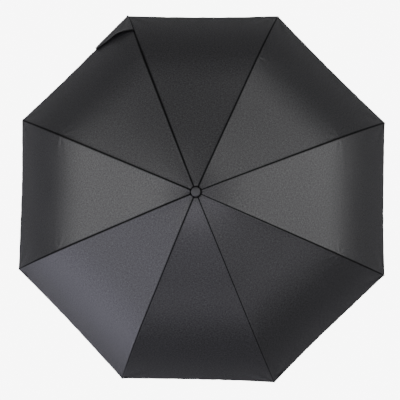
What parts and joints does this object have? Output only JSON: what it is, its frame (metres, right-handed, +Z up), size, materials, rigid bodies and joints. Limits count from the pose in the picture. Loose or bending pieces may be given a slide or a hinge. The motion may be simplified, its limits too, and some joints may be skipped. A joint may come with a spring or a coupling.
{
  "type": "folding umbrella",
  "caption": "Compact folding umbrella, open: black cloth canopy on three-section folding ribs, telescoping shaft with sliding runner, short grip with a push button and wrist loop.",
  "frame": {"origin": "centre of the handle's flat end face", "axes": "+Z up the shaft towards the cap; the first rib stands 22.5 degrees from +X; the push button faces -Y"},
  "size_m": [0.9038, 0.9038, 0.5924],
  "materials": {
    "black_cloth": "fine plain weave, faint sheen",
    "black_cord": "braided cord",
    "black_steel": "black lacquered steel",
    "plated_steel": "nickel plated",
    "shaft_steel": "drawn tube, satin",
    "black_plastic": "moulded, semi-gloss",
    "grey_plastic": "moulded, semi-gloss",
    "black_rubber": "soft-touch coating, matte"
  },
  "bodies": {
    "handle": {"handle_grip": "black_rubber", "handle_end_cap": "black_plastic", "latch_pin": "plated_steel", "lower_tube": "shaft_steel", "opening_spring": "plated_steel", "button_spring": "plated_steel"},
    "middle_shaft": {"middle_tube": "shaft_steel"},
    "crown": {"upper_tube": "shaft_steel", "top_notch": "black_plastic", "notch_ring": "plated_steel", "canopy": "black_cloth", "canopy_washer": "black_cloth", "cap": "black_plastic"},
    "top_rib_1": {"top_rib_1": "black_steel"},
    "stretcher_1": {"stretcher_1": "plated_steel"},
    "middle_rib_1": {"middle_rib_1": "black_steel"},
    "outer_rib_1": {"outer_rib_1": "black_steel", "rib_tip_1": "black_plastic"},
    "top_rib_2": {"top_rib_2": "black_steel"},
    "stretcher_2": {"stretcher_2": "plated_steel"},
    "middle_rib_2": {"middle_rib_2": "black_steel"},
    "outer_rib_2": {"outer_rib_2": "black_steel", "rib_tip_2": "black_plastic"},
    "top_rib_3": {"top_rib_3": "black_steel"},
    "stretcher_3": {"stretcher_3": "plated_steel"},
    "middle_rib_3": {"middle_rib_3": "black_steel"},
    "outer_rib_3": {"outer_rib_3": "black_steel", "rib_tip_3": "black_plastic"},
    "top_rib_4": {"top_rib_4": "black_steel"},
    "stretcher_4": {"stretcher_4": "plated_steel"},
    "middle_rib_4": {"middle_rib_4": "black_steel"},
    "outer_rib_4": {"outer_rib_4": "black_steel", "rib_tip_4": "black_plastic"},
    "top_rib_5": {"top_rib_5": "black_steel"},
    "stretcher_5": {"stretcher_5": "plated_steel"},
    "middle_rib_5": {"middle_rib_5": "black_steel"},
    "outer_rib_5": {"outer_rib_5": "black_steel", "rib_tip_5": "black_plastic"},
    "top_rib_6": {"top_rib_6": "black_steel"},
    "stretcher_6": {"stretcher_6": "plated_steel"},
    "middle_rib_6": {"middle_rib_6": "black_steel"},
    "outer_rib_6": {"outer_rib_6": "black_steel", "rib_tip_6": "black_plastic"},
    "top_rib_7": {"top_rib_7": "black_steel"},
    "stretcher_7": {"stretcher_7": "plated_steel"},
    "middle_rib_7": {"middle_rib_7": "black_steel"},
    "outer_rib_7": {"outer_rib_7": "black_steel", "rib_tip_7": "black_plastic"},
    "top_rib_8": {"top_rib_8": "black_steel"},
    "stretcher_8": {"stretcher_8": "plated_steel"},
    "middle_rib_8": {"middle_rib_8": "black_steel"},
    "outer_rib_8": {"outer_rib_8": "black_steel", "rib_tip_8": "black_plastic"},
    "runner": {"runner": "black_plastic", "runner_ring": "plated_steel"},
    "button": {"push_button": "grey_plastic"},
    "latch": {"latch_lever": "plated_steel"},
    "wrist_loop": {"wrist_loop": "black_cord"},
    "strap": {"closing_strap": "black_cloth", "strap_snap": "plated_steel"}
  },
  "joints": [
    {"name": "middle_slide", "type": "slide", "parent": "handle", "child": "middle_shaft", "axis": [0, 0, -1], "range_m": [0, 0.152], "deforming": ["opening_spring"]},
    {"name": "upper_slide", "type": "slide", "parent": "middle_shaft", "child": "crown", "axis": [0, 0, -1], "range_m": [0, 0.152]},
    {"name": "fold", "type": "hinge", "parent": "crown", "child": "top_rib_1", "pos_m": [0.00924, 0.00383, 0.577], "axis": [-0.3827, 0.9239, 0], "range_deg": [0, 73], "deforming": ["canopy", "closing_strap", "strap_snap"]},
    {"name": "stretcher_hinge_1", "type": "hinge", "parent": "top_rib_1", "child": "stretcher_1", "pos_m": [0.09141, 0.03786, 0.54981], "axis": [0.3827, -0.9239, 0], "range_deg": [0, 146]},
    {"name": "inner_knee_1", "type": "hinge", "parent": "top_rib_1", "child": "middle_rib_1", "pos_m": [0.16218, 0.06718, 0.53015], "axis": [0.3827, -0.9239, 0], "range_deg": [0, 183.5]},
    {"name": "outer_knee_1", "type": "hinge", "parent": "middle_rib_1", "child": "outer_rib_1", "pos_m": [0.31568, 0.13076, 0.46056], "axis": [-0.3827, 0.9239, 0], "range_deg": [0, 161]},
    {"name": "top_hinge_2", "type": "hinge", "parent": "crown", "child": "top_rib_2", "pos_m": [0.00383, 0.00924, 0.577], "axis": [-0.9239, 0.3827, 0], "range_deg": [0, 73]},
    {"name": "stretcher_hinge_2", "type": "hinge", "parent": "top_rib_2", "child": "stretcher_2", "pos_m": [0.03786, 0.09141, 0.54981], "axis": [0.9239, -0.3827, 0], "range_deg": [0, 146]},
    {"name": "inner_knee_2", "type": "hinge", "parent": "top_rib_2", "child": "middle_rib_2", "pos_m": [0.06718, 0.16218, 0.53015], "axis": [0.9239, -0.3827, 0], "range_deg": [0, 183.5]},
    {"name": "outer_knee_2", "type": "hinge", "parent": "middle_rib_2", "child": "outer_rib_2", "pos_m": [0.13076, 0.31568, 0.46056], "axis": [-0.9239, 0.3827, 0], "range_deg": [0, 161]},
    {"name": "top_hinge_3", "type": "hinge", "parent": "crown", "child": "top_rib_3", "pos_m": [-0.00383, 0.00924, 0.577], "axis": [-0.9239, -0.3827, 0], "range_deg": [0, 73]},
    {"name": "stretcher_hinge_3", "type": "hinge", "parent": "top_rib_3", "child": "stretcher_3", "pos_m": [-0.03786, 0.09141, 0.54981], "axis": [0.9239, 0.3827, 0], "range_deg": [0, 146]},
    {"name": "inner_knee_3", "type": "hinge", "parent": "top_rib_3", "child": "middle_rib_3", "pos_m": [-0.06718, 0.16218, 0.53015], "axis": [0.9239, 0.3827, 0], "range_deg": [0, 183.5]},
    {"name": "outer_knee_3", "type": "hinge", "parent": "middle_rib_3", "child": "outer_rib_3", "pos_m": [-0.13076, 0.31568, 0.46056], "axis": [-0.9239, -0.3827, 0], "range_deg": [0, 161]},
    {"name": "top_hinge_4", "type": "hinge", "parent": "crown", "child": "top_rib_4", "pos_m": [-0.00924, 0.00383, 0.577], "axis": [-0.3827, -0.9239, 0], "range_deg": [0, 73]},
    {"name": "stretcher_hinge_4", "type": "hinge", "parent": "top_rib_4", "child": "stretcher_4", "pos_m": [-0.09141, 0.03786, 0.54981], "axis": [0.3827, 0.9239, 0], "range_deg": [0, 146]},
    {"name": "inner_knee_4", "type": "hinge", "parent": "top_rib_4", "child": "middle_rib_4", "pos_m": [-0.16218, 0.06718, 0.53015], "axis": [0.3827, 0.9239, 0], "range_deg": [0, 183.5]},
    {"name": "outer_knee_4", "type": "hinge", "parent": "middle_rib_4", "child": "outer_rib_4", "pos_m": [-0.31568, 0.13076, 0.46056], "axis": [-0.3827, -0.9239, 0], "range_deg": [0, 161]},
    {"name": "top_hinge_5", "type": "hinge", "parent": "crown", "child": "top_rib_5", "pos_m": [-0.00924, -0.00383, 0.577], "axis": [0.3827, -0.9239, 0], "range_deg": [0, 73]},
    {"name": "stretcher_hinge_5", "type": "hinge", "parent": "top_rib_5", "child": "stretcher_5", "pos_m": [-0.09141, -0.03786, 0.54981], "axis": [-0.3827, 0.9239, 0], "range_deg": [0, 146]},
    {"name": "inner_knee_5", "type": "hinge", "parent": "top_rib_5", "child": "middle_rib_5", "pos_m": [-0.16218, -0.06718, 0.53015], "axis": [-0.3827, 0.9239, 0], "range_deg": [0, 183.5]},
    {"name": "outer_knee_5", "type": "hinge", "parent": "middle_rib_5", "child": "outer_rib_5", "pos_m": [-0.31568, -0.13076, 0.46056], "axis": [0.3827, -0.9239, 0], "range_deg": [0, 161]},
    {"name": "top_hinge_6", "type": "hinge", "parent": "crown", "child": "top_rib_6", "pos_m": [-0.00383, -0.00924, 0.577], "axis": [0.9239, -0.3827, 0], "range_deg": [0, 73]},
    {"name": "stretcher_hinge_6", "type": "hinge", "parent": "top_rib_6", "child": "stretcher_6", "pos_m": [-0.03786, -0.09141, 0.54981], "axis": [-0.9239, 0.3827, 0], "range_deg": [0, 146]},
    {"name": "inner_knee_6", "type": "hinge", "parent": "top_rib_6", "child": "middle_rib_6", "pos_m": [-0.06718, -0.16218, 0.53015], "axis": [-0.9239, 0.3827, 0], "range_deg": [0, 183.5]},
    {"name": "outer_knee_6", "type": "hinge", "parent": "middle_rib_6", "child": "outer_rib_6", "pos_m": [-0.13076, -0.31568, 0.46056], "axis": [0.9239, -0.3827, 0], "range_deg": [0, 161]},
    {"name": "top_hinge_7", "type": "hinge", "parent": "crown", "child": "top_rib_7", "pos_m": [0.00383, -0.00924, 0.577], "axis": [0.9239, 0.3827, 0], "range_deg": [0, 73]},
    {"name": "stretcher_hinge_7", "type": "hinge", "parent": "top_rib_7", "child": "stretcher_7", "pos_m": [0.03786, -0.09141, 0.54981], "axis": [-0.9239, -0.3827, 0], "range_deg": [0, 146]},
    {"name": "inner_knee_7", "type": "hinge", "parent": "top_rib_7", "child": "middle_rib_7", "pos_m": [0.06718, -0.16218, 0.53015], "axis": [-0.9239, -0.3827, 0], "range_deg": [0, 183.5]},
    {"name": "outer_knee_7", "type": "hinge", "parent": "middle_rib_7", "child": "outer_rib_7", "pos_m": [0.13076, -0.31568, 0.46056], "axis": [0.9239, 0.3827, 0], "range_deg": [0, 161]},
    {"name": "top_hinge_8", "type": "hinge", "parent": "crown", "child": "top_rib_8", "pos_m": [0.00924, -0.00383, 0.577], "axis": [0.3827, 0.9239, 0], "range_deg": [0, 73]},
    {"name": "stretcher_hinge_8", "type": "hinge", "parent": "top_rib_8", "child": "stretcher_8", "pos_m": [0.09141, -0.03786, 0.54981], "axis": [-0.3827, -0.9239, 0], "range_deg": [0, 146]},
    {"name": "inner_knee_8", "type": "hinge", "parent": "top_rib_8", "child": "middle_rib_8", "pos_m": [0.16218, -0.06718, 0.53015], "axis": [-0.3827, -0.9239, 0], "range_deg": [0, 183.5]},
    {"name": "outer_knee_8", "type": "hinge", "parent": "middle_rib_8", "child": "outer_rib_8", "pos_m": [0.31568, -0.13076, 0.46056], "axis": [0.3827, 0.9239, 0], "range_deg": [0, 161]},
    {"name": "runner_hinge", "type": "hinge", "parent": "stretcher_1", "child": "runner", "pos_m": [0.00924, 0.00383, 0.52262], "axis": [-0.3827, 0.9239, 0], "range_deg": [0, 73]},
    {"name": "button_press", "type": "slide", "parent": "handle", "child": "button", "axis": [0, 1, 0], "range_m": [0, 0.0013], "stiffness_N_per_m": 600, "deforming": ["button_spring"]},
    {"name": "latch_rock", "type": "hinge", "parent": "handle", "child": "latch", "pos_m": [0, -0.0095, 0.046], "axis": [1, 0, 0], "range_deg": [0, 5.3]},
    {"name": "wrist_loop_swing", "type": "hinge", "parent": "handle", "child": "wrist_loop", "pos_m": [0, 0.0206, 0.0039], "axis": [-1, 0, 0], "range_deg": [0, 170]},
    {"name": "strap_swing", "type": "hinge", "parent": "outer_rib_3", "child": "strap", "pos_m": [-0.18701, 0.45148, 0.35338], "axis": [-0.2664, 0.643, -0.718], "range_deg": [0, 110]}
  ],
  "couplings": [
    {"joint": "stretcher_hinge_1", "follows": "fold", "ratio": 2},
    {"joint": "inner_knee_1", "follows": "fold", "ratio": 2.5137},
    {"joint": "outer_knee_1", "follows": "fold", "ratio": 2.2055},
    {"joint": "top_hinge_2", "follows": "fold", "ratio": 1},
    {"joint": "stretcher_hinge_2", "follows": "fold", "ratio": 2},
    {"joint": "inner_knee_2", "follows": "fold", "ratio": 2.5137},
    {"joint": "outer_knee_2", "follows": "fold", "ratio": 2.2055},
    {"joint": "top_hinge_3", "follows": "fold", "ratio": 1},
    {"joint": "stretcher_hinge_3", "follows": "fold", "ratio": 2},
    {"joint": "inner_knee_3", "follows": "fold", "ratio": 2.5137},
    {"joint": "outer_knee_3", "follows": "fold", "ratio": 2.2055},
    {"joint": "top_hinge_4", "follows": "fold", "ratio": 1},
    {"joint": "stretcher_hinge_4", "follows": "fold", "ratio": 2},
    {"joint": "inner_knee_4", "follows": "fold", "ratio": 2.5137},
    {"joint": "outer_knee_4", "follows": "fold", "ratio": 2.2055},
    {"joint": "top_hinge_5", "follows": "fold", "ratio": 1},
    {"joint": "stretcher_hinge_5", "follows": "fold", "ratio": 2},
    {"joint": "inner_knee_5", "follows": "fold", "ratio": 2.5137},
    {"joint": "outer_knee_5", "follows": "fold", "ratio": 2.2055},
    {"joint": "top_hinge_6", "follows": "fold", "ratio": 1},
    {"joint": "stretcher_hinge_6", "follows": "fold", "ratio": 2},
    {"joint": "inner_knee_6", "follows": "fold", "ratio": 2.5137},
    {"joint": "outer_knee_6", "follows": "fold", "ratio": 2.2055},
    {"joint": "top_hinge_7", "follows": "fold", "ratio": 1},
    {"joint": "stretcher_hinge_7", "follows": "fold", "ratio": 2},
    {"joint": "inner_knee_7", "follows": "fold", "ratio": 2.5137},
    {"joint": "outer_knee_7", "follows": "fold", "ratio": 2.2055},
    {"joint": "top_hinge_8", "follows": "fold", "ratio": 1},
    {"joint": "stretcher_hinge_8", "follows": "fold", "ratio": 2},
    {"joint": "inner_knee_8", "follows": "fold", "ratio": 2.5137},
    {"joint": "outer_knee_8", "follows": "fold", "ratio": 2.2055},
    {"joint": "runner_hinge", "follows": "fold", "ratio": 1},
    {"joint": "latch_rock", "follows": "button_press", "rad_per_m": 71.156}
  ]
}
